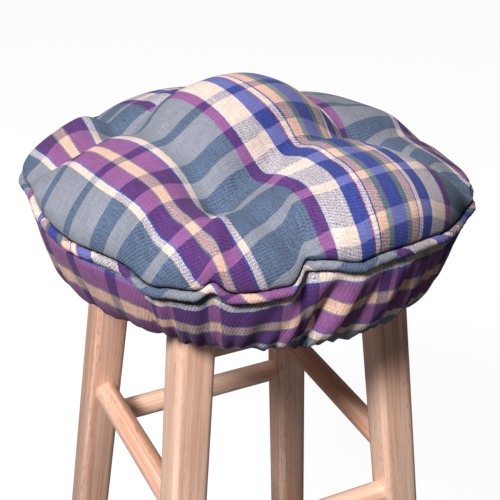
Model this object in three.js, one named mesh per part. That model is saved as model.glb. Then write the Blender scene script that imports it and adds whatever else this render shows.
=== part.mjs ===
import * as THREE from 'three';

// A stuffed round bar stool cushion whose gathered skirt falls over the edge of a plain wooden stool.
// Millimetres, +Z up. The origin is on the floor, under the middle of the stool.

// Driving dimensions of the stool
const SEAT_TOP = 737;
const SEAT_THICKNESS = 25;
const SEAT_RADIUS = 162;
const SEAT_EDGE = 8; // rounding of the seat's upper and lower edge
const LEG_SIDE = 32;
const LEG_ARRIS = 4; // rounding of the legs' long edges
const LEG_LEAN = 0.0976; // how far a leg leans out along X and along Y for each millimetre down
const LEG_OFFSET_AT_FLOOR = 153.5; // centre of a foot from the middle, along X and along Y
const RUNG_RADIUS = 11;
const CLEAT_HEIGHT = 45;
const CLEAT_THICKNESS = 20;
const GAP = 0.3; // between pieces that touch

// Driving dimensions of the cloth
const RIM_RADIUS = 182; // middle of the piping, on average
const RIM_HEIGHT = 769;
const PIPING_RADIUS = 4;
const HEM_RADIUS = 155;
const HEM_HEIGHT = 699;
const SKIRT_THICKNESS = 2;
const CROWN = 46; // crown of the whole pad above the rim, in its middle
const MIDDLE_LOBE = { x: -2, y: 8, radius: 112, height: 27 }; // extra crown between the tufts
const BULGE = 8; // height above the piping where the pad is widest
const BULGE_DROP = 26; // how fast the panel turns back in below the bulge
const PANEL_END = 112; // degrees from the crown round to the seam
const PANEL_FULLNESS = 0.92; // below 1 the panel swells out sooner than a round dome
const DOME_FULLNESS = 0.9; // the same for its height
const LOBE_FALL = 1.25; // how quickly the middle lobe dies away at its edge
const HOLD_FADE = 0.5; // tucks let go of the panel towards the seam, where it is held already
const UNDERSIDE = { flat: 150, turn: 164, turnRise: 3, side: 170, sideRise: 9 };

// How finely the soft solids are cut
const RING_STEPS = 120; // the same round every ring, so that neighbours keep their distance
const PAD_ROWS = 19;
const UNDERSIDE_ROWS = 5;
const PIPING_SIDES = 8;
const SKIRT_ROWS = 6;
const SEAT_STEPS = 48;
const RUNG_SIDES = 20;
const ARRIS_STEPS = 4;

// The rim by its angle in degrees, 0 along +X and 90 along +Y: radius of the piping's middle, its rise
// above RIM_HEIGHT, and the crown of the outer lobe above it. The notches are where the radius is small.
const RIM_COLUMNS = ['angle', 'radius', 'rise', 'lobe'];
const RIM = [
  [-187, 176, 6, 34],
  [-172, 181, 6, 40],
  [-160, 183, 2, 46],
  [-148, 182, 1, 50],
  [-139, 180, -5, 52],
  [-130, 184, -10, 56],
  [-115, 184, -9, 54],
  [-107, 181, -5, 50],
  [-101, 173, 6, 42],
  [-94, 180, 10, 52],
  [-80, 182, 7, 66],
  [-65, 183, 4, 72],
  [-52, 183, -1, 62],
  [-43, 177, -2, 40],
  [-32, 184, -3, 20],
  [-15, 181, -10, 16],
  [0, 179, -10, 20],
  [20, 181, -11, 30],
  [38, 178, -6, 32],
  [60, 182, -10, 34],
  [84, 180, -6, 32],
  [100, 182, -9, 34],
  [116, 176, -2, 26],
  [135, 181, -8, 34],
  [155, 183, -4, 36],
];

// Places that the tucks run between, seen from above: four tufts and the notches in the rim
const TUFT_COLUMNS = ['name', 'x', 'y', 'depth'];
const TUFTS = [
  ['front', -66, -92, 30],
  ['right', 86, -30, 30],
  ['back', 52, 92, 26],
  ['left', -84, 62, 30],
];
const TUFT_SPREAD = 15;
const NOTCH_RADIUS = 184;
const NOTCH_ANGLES = { n1: -141, n2: -101, n3: -43, n4: 1, n5: 38, n6: 84, n7: 116, n8: 173 };

// Each tuck: where it starts and ends, its depth at the start, in the middle and at the end, its spread
const TUCK_COLUMNS = ['from', 'to', 'first', 'middle', 'last', 'spread'];
const TUCKS = [
  ['front', 'right', 28, 22, 28, 17],
  ['right', 'back', 28, 18, 26, 17],
  ['back', 'left', 26, 17, 28, 17],
  ['left', 'front', 28, 14, 28, 17],
  ['left', 'n8', 20, 18, 16, 12],
  ['left', 'n7', 20, 18, 16, 12],
  ['front', 'n1', 9, 6, 3, 12],
  ['front', 'n2', 12, 10, 18, 13],
  ['right', 'n3', 20, 20, 20, 12],
  ['right', 'n4', 18, 15, 12, 13],
  ['back', 'n5', 18, 15, 12, 13],
  ['back', 'n6', 18, 15, 12, 13],
];
const TUCK_BLEND = 5; // how hard the deepest tuck wins where several meet
const TUCK_SOFTNESS = 0.5; // rounds the bottom of a tuck

// The skirt's outside, from the hem up, where the rim is at its average radius
const SKIRT_COLUMNS = ['height', 'radius'];
const SKIRT = [
  [HEM_HEIGHT, HEM_RADIUS],
  [704, 159.5],
  [710, 163.5],
  [716, 167],
  [724, 170],
  [737, 174.5],
  [750, 178],
  [765, RIM_RADIUS],
];
const GATHERS = 30;
const GATHER_DEPTH = 3.6; // at the hem, fading out towards the rim
const GATHER_FADE = 1.5;
const FOLD_PEAK = 0.8; // below 1 the folds stand out most above the middle of the skirt

// Folds that stand out of the skirt: angle, spread in degrees, height at the middle of the skirt
const FOLD_COLUMNS = ['angle', 'spread', 'height'];
const FOLDS = [
  [-172, 5, 2.5],
  [-150, 4, 2],
  [-118, 4, 2.5],
  [-106, 3.5, 4.5],
  [-95, 4, 4],
  [-84, 3.5, 3.5],
  [-60, 4, 2],
  [-46, 4, 3],
  [-8, 5, 2.5],
  [28, 5, 2.5],
  [74, 5, 2.5],
  [108, 4, 3],
  [150, 5, 2],
];

const CLOTH = new THREE.MeshStandardMaterial({ color: 0x8a86a8, roughness: 0.92, metalness: 0 });
const TRIM = new THREE.MeshStandardMaterial({ color: 0x8f7f9c, roughness: 0.92, metalness: 0 });
const WOOD = new THREE.MeshStandardMaterial({ color: 0xd9b48f, roughness: 0.45, metalness: 0 });

const radians = THREE.MathUtils.degToRad;

// A row of a table as an object with its columns' names
function named(columns, row) {
  return Object.fromEntries(columns.map((column, index) => [column, row[index]]));
}

// Where the direction of an angle meets a circle, seen from above
function onCircle(radius, degrees) {
  return new THREE.Vector2(Math.cos(radians(degrees)), Math.sin(radians(degrees))).multiplyScalar(radius);
}

// A smooth curve through a table's rows; the first column is the position along it
function curveThrough(rows) {
  const positions = rows.map((row) => row[0]);
  const values = rows.flatMap((row) => row.slice(1));
  return new THREE.CubicInterpolant(positions, values, rows[0].length - 1);
}

// The rim's rows, repeated once before and after, so that the curve closes
const rimCurve = curveThrough(
  [-360, 0, 360].flatMap((turn) => RIM.map(([angle, ...rest]) => [angle + turn, ...rest])),
);

function rimAt(degrees) {
  const wrapped = ((degrees - RIM[0][0]) % 360) + RIM[0][0];
  return named(RIM_COLUMNS.slice(1), rimCurve.evaluate(wrapped));
}

const tufts = TUFTS.map((row) => named(TUFT_COLUMNS, row));
const places = {
  ...Object.fromEntries(tufts.map((tuft) => [tuft.name, new THREE.Vector2(tuft.x, tuft.y)])),
  ...Object.fromEntries(
    Object.entries(NOTCH_ANGLES).map(([name, angle]) => [name, onCircle(NOTCH_RADIUS, angle)]),
  ),
};

// A dent that falls off smoothly with distance
function dent(depth, distance, spread) {
  const reach = Math.hypot(distance / spread, TUCK_SOFTNESS) - TUCK_SOFTNESS;
  return depth * Math.exp(-reach);
}

// How far one tuck pulls the panel down at a point seen from above
function tuckDepth(tuck, point) {
  const start = places[tuck.from];
  const run = places[tuck.to].clone().sub(start);
  const along = THREE.MathUtils.clamp(point.clone().sub(start).dot(run) / run.lengthSq(), 0, 1);
  const ends = THREE.MathUtils.lerp(tuck.first, tuck.last, along);
  const depth = THREE.MathUtils.lerp(ends, tuck.middle, Math.sin(Math.PI * along));
  const distance = point.distanceTo(start.clone().addScaledVector(run, along));
  return dent(depth, distance, tuck.spread);
}

// All tufts and tucks together, the deepest one winning softly
function pulledDown(point) {
  const depths = [
    ...TUCKS.map((row) => tuckDepth(named(TUCK_COLUMNS, row), point)),
    ...tufts.map((tuft) => dent(tuft.depth, point.distanceTo(places[tuft.name]), TUFT_SPREAD)),
  ];
  return depths.reduce((sum, depth) => sum + depth ** TUCK_BLEND, 0) ** (1 / TUCK_BLEND);
}

// A closed surface round +Z: rule(row, degrees) places the points, its rows running up the outside
function turned(rows, steps, rule) {
  const profile = Array.from({ length: rows }, () => new THREE.Vector2(1, 0));
  const geometry = new THREE.LatheGeometry(profile, steps);
  const position = geometry.attributes.position;
  for (let step = 0; step <= steps; step += 1) {
    const degrees = (360 * (step % steps)) / steps;
    for (let row = 0; row < rows; row += 1) {
      const { radius, height } = rule(row, degrees);
      const { x, y } = onCircle(radius, degrees);
      position.setXYZ(step * rows + row, x, y, height);
    }
  }
  geometry.computeVertexNormals();
  return geometry;
}

// The top panel from the crown, at 0 degrees, over the bulge to the seam, at PANEL_END
function panelPoint(turn, degrees) {
  const rim = rimAt(degrees);
  const level = Math.cos(radians(turn));
  const outward = Math.sin(radians(Math.min(turn, 90)));
  const radius = rim.radius * Math.sin(radians(turn)) ** PANEL_FULLNESS;
  const plan = onCircle(radius, degrees);
  const fromLobe = Math.hypot(plan.x - MIDDLE_LOBE.x, plan.y - MIDDLE_LOBE.y) / MIDDLE_LOBE.radius;
  const middle = MIDDLE_LOBE.height * Math.max(1 - fromLobe ** 2, 0) ** LOBE_FALL;
  const crown = THREE.MathUtils.lerp(CROWN, rim.lobe, outward ** 2);
  const dome = level > 0 ? crown * level ** DOME_FULLNESS : BULGE_DROP * level;
  const hold = Math.max(level, 0) ** HOLD_FADE;
  const rise = BULGE + rim.rise * outward ** 3;
  const height = RIM_HEIGHT + rise + dome + middle - pulledDown(plan) * hold;
  return { radius, height };
}

// The pad's underside: flat on the seat, then turning up to the seam
function undersidePoint(row, degrees) {
  const rim = rimAt(degrees);
  const scale = rim.radius / RIM_RADIUS;
  const floor = SEAT_TOP + GAP;
  const points = [
    { radius: 0, height: floor },
    { radius: UNDERSIDE.flat / 2, height: floor },
    { radius: UNDERSIDE.flat, height: floor },
    { radius: UNDERSIDE.turn * scale, height: floor + UNDERSIDE.turnRise },
    { radius: UNDERSIDE.side * scale, height: floor + UNDERSIDE.sideRise },
  ];
  return points[row];
}

function makeCushion() {
  return turned(UNDERSIDE_ROWS + PAD_ROWS, RING_STEPS, (row, degrees) => {
    if (row < UNDERSIDE_ROWS) return undersidePoint(row, degrees);
    const turn = PANEL_END * (1 - (row - UNDERSIDE_ROWS) / (PAD_ROWS - 1));
    return panelPoint(turn, degrees);
  });
}

function makePiping() {
  return turned(PIPING_SIDES + 1, RING_STEPS, (row, degrees) => {
    const rim = rimAt(degrees);
    const section = onCircle(PIPING_RADIUS, (360 * (row % PIPING_SIDES)) / PIPING_SIDES);
    return { radius: rim.radius + section.x, height: RIM_HEIGHT + rim.rise + section.y };
  });
}

const skirtCurve = curveThrough(SKIRT);

// Shortest way round from one angle to another
function turnBetween(from, to) {
  return THREE.MathUtils.euclideanModulo(to - from + 180, 360) - 180;
}

// How far the cloth stands out at an angle: share is 0 at the hem and 1 at the rim. Slow waves shift
// the gathers sideways and make some deeper than others.
function gathered(share, degrees) {
  const angle = radians(degrees);
  const shift = 0.9 * Math.sin(3 * angle) + 0.6 * Math.sin(7 * angle + 1);
  const wave = 0.5 + 0.5 * Math.cos(GATHERS * angle + shift);
  const uneven = 0.75 + 0.25 * Math.sin(5 * angle + 2);
  const gathers = GATHER_DEPTH * wave * uneven * (1 - share) ** GATHER_FADE;
  const folds = FOLDS.map((row) => named(FOLD_COLUMNS, row)).reduce((sum, fold) => {
    const distance = turnBetween(fold.angle, degrees) / fold.spread;
    return sum + fold.height * Math.exp(-(distance ** 2));
  }, 0);
  return gathers + folds * Math.sin(Math.PI * share ** FOLD_PEAK);
}

function skirtPoint(share, degrees, depth) {
  const rim = rimAt(degrees);
  const top = RIM_HEIGHT + rim.rise - PIPING_RADIUS - GAP;
  const height = THREE.MathUtils.lerp(HEM_HEIGHT, top, share);
  const [base] = skirtCurve.evaluate(height);
  const pulled = (rim.radius - RIM_RADIUS) * share ** 2;
  return { radius: base + pulled + gathered(share, degrees) - depth, height };
}

function makeSkirt() {
  return turned(2 * SKIRT_ROWS + 1, RING_STEPS, (row, degrees) => {
    const outside = row % (2 * SKIRT_ROWS) < SKIRT_ROWS;
    const step = outside ? row % (2 * SKIRT_ROWS) : 2 * SKIRT_ROWS - 1 - row;
    return skirtPoint(step / (SKIRT_ROWS - 1), degrees, outside ? 0 : SKIRT_THICKNESS);
  });
}

// The seat board with both edges rounded
function makeSeat() {
  const flat = SEAT_RADIUS - SEAT_EDGE;
  const arc = (centre, from) =>
    [0, 30, 60, 90].map((turn) => {
      const edge = onCircle(SEAT_EDGE, from + turn);
      return { radius: flat + edge.x, height: centre + edge.y };
    });
  const profile = [
    { radius: 0, height: SEAT_TOP - SEAT_THICKNESS },
    ...arc(SEAT_TOP - SEAT_THICKNESS + SEAT_EDGE, -90),
    ...arc(SEAT_TOP - SEAT_EDGE, 0),
    { radius: 0, height: SEAT_TOP },
  ];
  return turned(profile.length, SEAT_STEPS, (row) => profile[row]);
}

// Distance of a leg's middle from the stool's middle, along X and along Y, at a height
function legOffset(height) {
  return LEG_OFFSET_AT_FLOOR - LEG_LEAN * height;
}

// A square leg with rounded arrises, leaning out along X and Y, its ends level
function makeLeg(sideX, sideY) {
  const half = LEG_SIDE / 2;
  const flat = half - LEG_ARRIS;
  const section = new THREE.Shape();
  section.absarc(flat, flat, LEG_ARRIS, 0, Math.PI / 2);
  section.absarc(-flat, flat, LEG_ARRIS, Math.PI / 2, Math.PI);
  section.absarc(-flat, -flat, LEG_ARRIS, Math.PI, 1.5 * Math.PI);
  section.absarc(flat, -flat, LEG_ARRIS, 1.5 * Math.PI, 2 * Math.PI);
  const length = SEAT_TOP - SEAT_THICKNESS - GAP;
  const settings = { depth: length, bevelEnabled: false, curveSegments: ARRIS_STEPS };
  const geometry = new THREE.ExtrudeGeometry(section, settings);
  const lean = new THREE.Matrix4().set(
    1, 0, -LEG_LEAN * sideX, 0,
    0, 1, -LEG_LEAN * sideY, 0,
    0, 0, 1, 0,
    0, 0, 0, 1,
  );
  return geometry.applyMatrix4(lean);
}

// Carries the two ends of a piece that runs along X to the faces of the legs that it joins
function fitBetweenLegs(geometry) {
  const position = geometry.attributes.position;
  for (let index = 0; index < position.count; index += 1) {
    const reach = legOffset(position.getZ(index)) - LEG_SIDE / 2 - GAP;
    position.setX(index, Math.sign(position.getX(index)) * reach);
  }
  geometry.computeVertexNormals();
  return geometry;
}

// A round rung along X, under the middle of the stool until it is placed
function makeRung(height) {
  const geometry = new THREE.CylinderGeometry(RUNG_RADIUS, RUNG_RADIUS, 1, RUNG_SIDES);
  geometry.rotateZ(Math.PI / 2).translate(0, 0, height);
  return fitBetweenLegs(geometry);
}

// A board under the seat, leaning with the legs, on the -Y side
function makeCleat() {
  const top = SEAT_TOP - SEAT_THICKNESS - GAP;
  const geometry = new THREE.BoxGeometry(1, CLEAT_THICKNESS, CLEAT_HEIGHT);
  geometry.translate(0, 0, top - CLEAT_HEIGHT / 2);
  const position = geometry.attributes.position;
  for (let index = 0; index < position.count; index += 1) {
    position.setY(index, position.getY(index) - legOffset(position.getZ(index)));
  }
  return fitBetweenLegs(geometry);
}

function add(group, name, geometry, material) {
  const mesh = new THREE.Mesh(geometry, material);
  mesh.name = name;
  group.add(mesh);
  return mesh;
}

const stool = new THREE.Group();
add(stool, 'seat', makeSeat(), WOOD);

const LEG_COLUMNS = ['name', 'sideX', 'sideY'];
const LEGS = [
  ['leg_front', -1, -1],
  ['leg_right', 1, -1],
  ['leg_back', 1, 1],
  ['leg_left', -1, 1],
];
for (const { name, sideX, sideY } of LEGS.map((row) => named(LEG_COLUMNS, row))) {
  const leg = add(stool, name, makeLeg(sideX, sideY), WOOD);
  leg.position.set(sideX * LEG_OFFSET_AT_FLOOR, sideY * LEG_OFFSET_AT_FLOOR, 0);
}

// Rungs and cleats are made along X on the -Y side, then turned about the stool's middle
const RUNG_COLUMNS = ['name', 'turn', 'height'];
const RUNGS = [
  ['rung_front', 0, 477],
  ['rung_right', 90, 520],
  ['rung_back', 180, 477],
  ['rung_left', 270, 520],
  ['rung_front_low', 0, 205],
  ['rung_right_low', 90, 250],
  ['rung_back_low', 180, 205],
  ['rung_left_low', 270, 250],
];
for (const { name, turn, height } of RUNGS.map((row) => named(RUNG_COLUMNS, row))) {
  const side = new THREE.Group();
  side.rotation.z = radians(turn);
  const rung = add(side, name, makeRung(height), WOOD);
  rung.position.y = -legOffset(height);
  stool.add(side);
}
for (const [name, turn] of [['cleat_front', 0], ['cleat_back', 180]]) {
  const cleat = add(stool, name, makeCleat(), WOOD);
  cleat.rotation.z = radians(turn);
}

const cover = new THREE.Group();
add(cover, 'cushion', makeCushion(), CLOTH);
add(cover, 'piping', makePiping(), TRIM);
add(cover, 'skirt', makeSkirt(), CLOTH);

const part = new THREE.Group();
part.add(stool, cover);

export default part;
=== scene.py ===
import math

import bmesh
import bpy
import numpy as np
from bpy.props import FloatProperty, FloatVectorProperty, IntProperty, PointerProperty
from mathutils import Matrix, Vector


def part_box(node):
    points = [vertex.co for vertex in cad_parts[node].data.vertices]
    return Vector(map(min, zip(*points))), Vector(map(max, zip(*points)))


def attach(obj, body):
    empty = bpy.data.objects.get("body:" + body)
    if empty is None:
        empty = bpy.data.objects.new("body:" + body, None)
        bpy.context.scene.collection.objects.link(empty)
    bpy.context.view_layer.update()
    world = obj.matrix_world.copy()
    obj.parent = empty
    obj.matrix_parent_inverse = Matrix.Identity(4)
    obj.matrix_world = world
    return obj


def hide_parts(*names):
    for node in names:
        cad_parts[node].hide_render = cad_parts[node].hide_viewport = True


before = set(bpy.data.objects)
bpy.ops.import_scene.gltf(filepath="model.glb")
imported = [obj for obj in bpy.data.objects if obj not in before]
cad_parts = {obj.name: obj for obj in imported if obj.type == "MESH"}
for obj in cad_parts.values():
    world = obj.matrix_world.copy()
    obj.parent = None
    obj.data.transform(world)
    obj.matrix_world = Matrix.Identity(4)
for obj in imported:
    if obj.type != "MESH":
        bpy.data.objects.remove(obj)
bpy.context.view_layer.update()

bl_info = {
    "name": "Plaid stool cushion",
    "version": (1, 0, 0),
    "blender": (4, 5, 0),
    "location": "3D View > Sidebar > Stool",
    "description": "Adds a tufted plaid cushion with piping and a gathered skirt on a wooden bar stool",
    "category": "Add Mesh",
}

MM = 0.001  # the tables below are in millimetres and degrees, the meshes in metres


def linear(red, green, blue):
    """A colour given as screen values from 0 to 255, as scene linear."""
    shares = (value / 255 for value in (red, green, blue))
    return tuple(share / 12.92 if share <= 0.04045 else ((share + 0.055) / 1.055) ** 2.4 for share in shares)


# The cloth's shape. Angles are 0 along +X and 90 along +Y.
RIM_RADIUS = 182  # of the piping's middle, where the rim is average
RIM_HEIGHT = 769
SEAT_TOP = 737
HEM_HEIGHT = 699
CORD_RADIUS = 4  # room that the skirt leaves for the piping
GAP = 0.3  # kept between pieces that touch
CROWN = 46
MIDDLE_LOBE = {"x": -2, "y": 8, "radius": 112, "height": 27}
BULGE = 8  # how far the panel's widest line lies above the piping's middle
BULGE_DROP = 26  # how deep the panel would reach under that line, were it drawn in to the middle
PANEL_END = 112  # the turn in degrees at which the panel meets the seam: 0 is the crown, 90 the widest line
PANEL_FULLNESS = 0.92  # below 1 the panel's shoulder is fuller
DOME_FULLNESS = 0.9  # below 1 its top is broader
LOBE_FALL = 1.25  # above 1 the middle lobe runs out gently
HOLD_FADE = 0.5  # below 1 the tucks stay deep until near the rim

# The rim: angle, radius of the piping's middle, its rise above RIM_HEIGHT, crown of the outer lobe
RIM = [
    (-187, 176, 6, 34),
    (-172, 181, 6, 40),
    (-160, 183, 2, 46),
    (-148, 182, 1, 50),
    (-139, 180, -5, 52),
    (-130, 184, -10, 56),
    (-115, 184, -9, 54),
    (-107, 181, -5, 50),
    (-101, 173, 6, 42),
    (-94, 180, 10, 52),
    (-80, 182, 7, 66),
    (-65, 183, 4, 72),
    (-52, 183, -1, 62),
    (-43, 177, -2, 40),
    (-32, 184, -3, 20),
    (-15, 181, -10, 16),
    (0, 179, -10, 20),
    (20, 181, -11, 30),
    (38, 178, -6, 32),
    (60, 182, -10, 34),
    (84, 180, -6, 32),
    (100, 182, -9, 34),
    (116, 176, -2, 26),
    (135, 181, -8, 34),
    (155, 183, -4, 36),
]

# Where the piping rises, dips or stands out between those rows: angle, how far out, how far up, spread
KINKS = [
    (-137.5, 2, -6.5, 4.2),
    (-122.7, -1, 8.5, 2.4),
    (-105, 2, -3.5, 2.2),
    (-101.6, -4.5, 0.5, 1.5),
    (-90, 2, -4, 4.5),
    (-62.5, 1, -2, 4),
    (-43, 9, 1, 5),
]

# Tufts seen from above: x, y, depth
TUFTS = {
    "front": (-66, -92, 30),
    "right": (86, -30, 30),
    "back": (52, 92, 26),
    "left": (-84, 62, 30),
}
TUFT_SPREAD = 15
# Where the sewing thread nips the cloth, or the filling pushes it up: x, y, depth, spread
NIP_FALL = 1.5
NIPS = [
    (-78, -114, 9, 6),
    (-29, -155, 9, 6),
    (-27, -167, 12, 5),
    (82, -52, 5, 6),
    (-92, 46, 5, 6),
    (148, 3, -14, 26),
    (150, -96, 13, 16),
    (-108, 96, -9, 20),
]
NOTCH_RADIUS = 184
NOTCH_ANGLES = {"n1": -141, "n2": -101, "n3": -43, "n4": 1, "n5": 38, "n6": 84, "n7": 116, "n8": 173}

# Each tuck: where it starts and ends, its depth at the start, in the middle and at the end, its spread
TUCKS = [
    ("front", "right", 28, 22, 28, 17),
    ("right", "back", 28, 18, 26, 17),
    ("back", "left", 26, 17, 28, 17),
    ("left", "front", 28, 14, 28, 17),
    ("left", "n8", 20, 18, 16, 12),
    ("left", "n7", 20, 18, 16, 12),
    ("front", "n1", 9, 6, 3, 12),
    ("front", "n2", 12, 10, 18, 13),
    ("right", "n3", 20, 20, 20, 12),
    ("right", "n4", 18, 15, 12, 13),
    ("back", "n5", 18, 15, 12, 13),
    ("back", "n6", 18, 15, 12, 13),
]
TUCK_BLEND = 5  # how hard the deepest tuck wins where several meet
TUCK_SOFTNESS = 0.5  # rounds the bottom of a tuck

# The pad's underside, from the seam in to the flat on the seat: radius where the rim is average, rise
UNDERSIDE = [(170, 9), (164, 3), (150, 0), (90, 0)]

# The skirt's outside from the hem up: height, radius where the rim is average
SKIRT = [(699, 155), (704, 159.5), (710, 163.5), (716, 167), (724, 170), (737, 174.5), (750, 178), (765, 182)]
GATHERS = 30  # coarse gathers round the hem
GATHER_FADE = 1.5
FOLD_PEAK = 0.8  # below 1 the folds stand out most below the middle of the skirt

# How the skirt differs from an even one: angle, lift of the hem, swelling of its sides, how far lower the
# cloth is sewn on, the depth of the fine gathers, the length of cloth from the seam down to the hem, and how
# much of that length is crowded into the upper half
HEM = [
    (-180, 4, -2, 4, 3, 64, 0),
    (-160, 5, -1, 4.5, 4, 63, 0.05),
    (-142, 5, 0, 7, 6, 60, 0.25),
    (-126, 1, 0, 7.5, 7, 61, 0.25),
    (-108, 0, 0, 3, 8, 71, 0),
    (-92, -1.5, 0, 0, 8, 72, 0),
    (-72, -2, 1, 0, 8, 72, 0),
    (-60, -1.5, 1.5, 0, 7, 72, 0),
    (-50, -1, 1, 0, 7, 72, 0),
    (-36, 0, 1, 0, 6, 72, 0),
    (0, 0, 0, 0, 6, 72, 0),
    (60, 1, 0, 0, 6, 72, 0),
    (120, 3, -1, 0, 4, 70, 0),
    (150, 4, -1, 2, 3, 68, 0),
]
SWELL_PEAK = 0.7  # below 1 the sides swell most below the middle of the skirt
SEAM_RECESS = 4.5  # how far the skirt draws in right under the piping, and over what height
SEAM_RECESS_HEIGHT = 4

# Fine gathers: how often each wave goes round, and where it starts. Waves of a set are added up.
HEM_GATHERS = ((71, 0.3), (85, 1.9), (97, 4.1))
LONG_GATHERS = ((37, 0.7), (46, 3.1), (55, 5.2))
SEAM_PUCKERS = ((101, 0.5), (118, 2.2), (133, 5.0))
HEM_SHARPNESS = 1.8  # how flat the ridges and how narrow the creases of the gathers are
LONG_SHARPNESS = 2
RIDGE_MEAN = 0.64  # taken off, so that the gathers leave the skirt as wide as it is on the whole
HEM_FADE = 1.8  # above 1 the hem's gathers die out early on the way up
LONG_FADE = 0.7  # below 1 the long gathers reach far up
LONG_START = 0.2  # below 1 they begin close to the hem
LONG_DEPTH = 5
HEM_WAVE = 0.25  # how far the hem waves up and down, as a share of its gathers
HEM_WAVE_SHIFT = 1.2
HEM_WAVE_FADE = 4
SEAM_PUCKER_DEPTH = 0.8
SEAM_PUCKER_REACH = 9
SLANT = 8  # degrees that the gathers lean to the right of the front notch, from hem to rim
SLANT_MIDDLE = -88
SLANT_SPREAD = 30

# Folds that stand out of the skirt, and creases drawn in: angle, spread in degrees, height
FOLDS = [
    (-172, 5, 2),
    (-150, 4, 1.5),
    (-139, 1, -2),
    (-118, 4, 2),
    (-106, 3, 3),
    (-100.5, 2, -9),
    (-96, 3, 4.5),
    (-90, 1.6, -3.5),
    (-84, 3, 3.5),
    (-77.5, 1.6, -6),
    (-68, 1.5, -4),
    (-60, 3, 1),
    (-8, 5, 2.5),
    (28, 5, 2.5),
    (74, 5, 2.5),
    (108, 4, 3),
    (150, 5, 2),
]

# The plaid. Warp stripes from the middle of a royal blue stripe outwards: yarn, width. The sequence runs
# to the middle of a peach stripe and back.
WARP_MIDDLE = 19  # where the royal blue stripe lies on the panel
WARP = [
    ("blue", 6.5),
    ("red", 0.7),
    ("green", 5),
    ("peach", 9),
    ("navy", 0.7),
    ("white", 5),
    ("red", 0.7),
    ("blue", 12),
    ("cream", 20.4),
    ("blue", 0.7),
    ("purple", 8.4),
    ("slate", 47.4),
    ("cream", 6.5),
    ("blue", 1.5),
    ("purple", 16.3),
    ("green", 0.8),
    ("peach", 5.15),
]
WARP_HALF = sum(width for _, width in WARP)

# Weft bands from the front of the panel to the back: width of a dark band, width of the light one after it
WEFT_START = -236
WEFT = [
    (33, 11),
    (33, 9),
    (27, 9),
    (28, 17),
    (19, 34),
    (12.3, 45.3),
    (8.4, 48),
    (33, 9),
    (27, 9),
    (28, 17),
    (19, 34),
]

# The panel's cloth is cut 6 degrees off the stool's sides and drawn about by the tufts.
# Pulls: x, y seen from above, and how far the warp and the weft are drawn there
CLOTH_TURN = 6
PULLS = [
    (-54, 36, 2, 1),
    (-47, -15, -1, -1),
    (-86, -18, -1, 0),
    (-40, -55, -1, -6),
    (-82, -66, -3, -4),
    (-32, -84, -5, -13),
    (-14, -9, 0, -3),
    (-2, -42, -7, -16),
    (8, -56, -12, -21),
    (34, -38, -20, -26),
    (8, -90, -19, -13),
    (87, 6, -15, -26),
    (-83, -113, 4, 5),
    (-147, 2, 2, 23),
    (-145, -44, 0, 20),
    (-137, -79, -4, 9),
    (-124, -115, -8, 6),
    (-110, -150, -5, 14),
    (-21, -130, -12, -13),
    (-24, -168, -4, -13),
    (10, -133, -13, -9),
    (2, -176, -1, -5),
    (37, -139, -11, -6),
    (38, -169, -1, -8),
    (76, -162, 5, -7),
    (95, -124, 0, -11),
    (-154, 48, 9, 22),
    (-159, 56, 13, 35),
    (-146, 60, 12, 11),
    (-133, 71, 14, 2),
    (-109, 68, 18, 0),
    (-110, 85, 12, 0),
    (-131, 97, 12, 0),
    (-105, 117, 3, 0),
    (-176, -34, 1, 57),
    (-170, -28, 1, 54),
    (-154, 2, 2, 27),
    (-171, -65, -1, 42),
    (-164, -54, 0, 29),
    (-157, -49, 0, 24),
    (-159, -88, -4, 22),
    (-156, -86, -4, 25),
    (-149, -103, -6, 15),
    (-142, -104, -7, 12),
    (147, 4, -25, -37),
    (145, -16, -23, -51),
    (136, 0, -20, -43),
    (111, -12, -15, -33),
    (91, -17, -16, -28),
    (136, -33, -15, -45),
    (124, -70, -23, -42),
    (139, -84, -26, -47),
    (133, -73, -17, -49),
    (113, -49, -12, -28),
    (104, 24, -16, -25),
    (123, 23, -18, -20),
    (145, -91, -27, -46),
    (105, -138, 2, -9),
    (82, -128, -1, -10),
    (91, -142, 2, -9),
]
PULL_REACH = 48
PULL_EASE = 0.08  # above 0 neighbouring pulls even each other out

# The skirt's cloth: its stripes run round the stool. Where it comes round to its joining seam, it is sewn
# further in at the rim, so its stripes meet those on the seam's other side only at one share of the way up.
SKIRT_SEAM = -139.5
SKIRT_STEP = 9.5
SKIRT_MEET = 0.43
SKIRT_STEP_AWAY = 290  # degrees round from the seam at which that step begins
SKIRT_STEP_FADE = 25  # degrees over which it grows to its full size
SKIRT_WARP = 116.5  # warp position of the cloth at the rim, counted from WARP_MIDDLE
RIM_SCALE = 3.18  # millimetres round the rim for each degree
# Dark weft bands of the skirt by angle, from the seam right round
SKIRT_BANDS = [
    (-139, -137),
    (-133, -125),
    (-122, -108),
    (-104.3, -99.8),
    (-84, -81),
    (-79.3, -76.9),
    (-71.8, -69),
    (-60, -50),
    (-42, -33.5),
    (-32, -24),
    (-22.5, -15),
    (-12, -5),
    (-2, 4),
    (14, 17),
    (32, 42),
    (45, 54),
    (57, 66),
    (72, 78),
    (88, 92),
    (106, 109),
    (124, 134),
    (137, 145),
    (148, 157),
    (163, 166),
    (171, 174),
    (184, 187.5),
    (197.5, 200),
    (209.5, 213),
]

# The piping's cloth is cut on the bias. Distance along the rim from BIAS_START, and the warp there
BIAS_START = -120
BIAS_LEAD = 150  # degrees of piping before it
BIAS_WARP = [(-195, -334), (-168, -318), (-158, -296), (-143, -274.5), (20, -127.75), (169, -20.7)]
BIAS_SLOPE = 0.7071  # threads cross the piping at 45 degrees
CORD_RIPPLE = 0.22  # how deep the cloth ripples round the cord
CORD_WANDER = 0.3  # how far the cord strays from a smooth line
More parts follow.
